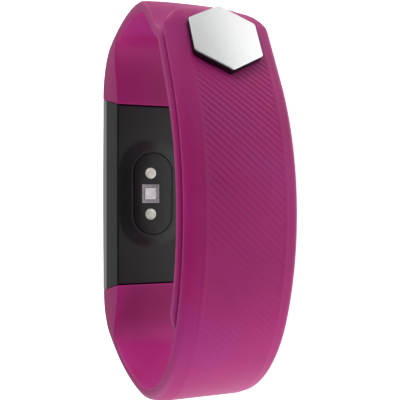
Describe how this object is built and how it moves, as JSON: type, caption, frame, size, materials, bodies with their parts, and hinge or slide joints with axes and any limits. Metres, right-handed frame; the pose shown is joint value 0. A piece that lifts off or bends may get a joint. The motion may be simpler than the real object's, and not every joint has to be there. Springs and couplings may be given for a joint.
{
  "type": "fitness tracker band",
  "caption": "Slim wrist band with a sensor pod in the loop, two moulded straps and a stud clasp under a hexagonal cap.",
  "frame": {"origin": "centre of the bounding box in X and Y, on the plane of the strap edges it rests on (z = 0)", "axes": "+X along the pod towards the tail strap's end, +Y from the clasp towards the pod's display, +Z along the axis of the loop"},
  "size_m": [0.065, 0.0562, 0.016],
  "materials": {
    "pod_plastic": "fine satin moulded surface",
    "lens_glass": "polished black",
    "black_adhesive": "matt",
    "display": "gloss, switched off",
    "flex_film": "satin film",
    "gold_plate": "plated",
    "circuit_board": "solder mask",
    "chip_resin": "matt moulded resin",
    "antenna_ceramic": "fired",
    "battery_foil": "satin laminated foil",
    "foam_pad": "closed-cell foam",
    "motor_steel": "drawn can",
    "rotor_metal": "sintered",
    "window_plastic": "smooth, dark tint",
    "clear_epoxy": "cast clear to milky",
    "frame_plastic": "satin pale grey",
    "diode_glass": "polished",
    "strap_rubber": "satin magenta, moulded",
    "clasp_steel": "satin with a polished bevel"
  },
  "bodies": {
    "pod": {"pod_shell": "pod_plastic", "front_lens": "lens_glass", "lens_adhesive": "black_adhesive", "display_panel": "display", "display_flex": "flex_film", "touch_pad": "gold_plate", "main_board": "circuit_board", "board_chips": "chip_resin", "antenna": "antenna_ceramic", "battery": "battery_foil", "battery_pad": "foam_pad", "motor_can": "motor_steel", "sensor_window": "window_plastic", "light_shield": "black_adhesive", "led_lenses": "clear_epoxy", "photodiode_frame": "frame_plastic", "photodiode": "diode_glass", "sensor_board": "circuit_board", "usb_tongue": "window_plastic", "usb_contacts": "gold_plate", "clasp_strap_root": "strap_rubber", "tail_strap_root": "strap_rubber"},
    "clasp_flap": {"clasp_strap_tip": "strap_rubber", "clasp_cap": "clasp_steel", "clasp_stud": "clasp_steel", "clasp_backplate": "clasp_steel"},
    "tail_flap": {"tail_strap_end": "strap_rubber"},
    "rotor": {"motor_rotor": "rotor_metal"}
  },
  "joints": [
    {"name": "clasp_lift", "type": "hinge", "parent": "pod", "child": "clasp_flap", "pos_m": [0.00149, -0.02686, 0.008], "axis": [0, 0, -1], "range_deg": [0, 55], "stiffness_Nm_per_rad": 0.02},
    {"name": "tail_flex", "type": "hinge", "parent": "pod", "child": "tail_flap", "pos_m": [0.02933, -0.00743, 0.008], "axis": [0, 0, -1], "range_deg": [0, 18], "stiffness_Nm_per_rad": 0.03},
    {"name": "motor_spin", "type": "hinge", "parent": "pod", "child": "rotor", "pos_m": [0.0119, 0.02035, 0.008], "axis": [0, 1, 0], "continuous": true}
  ]
}
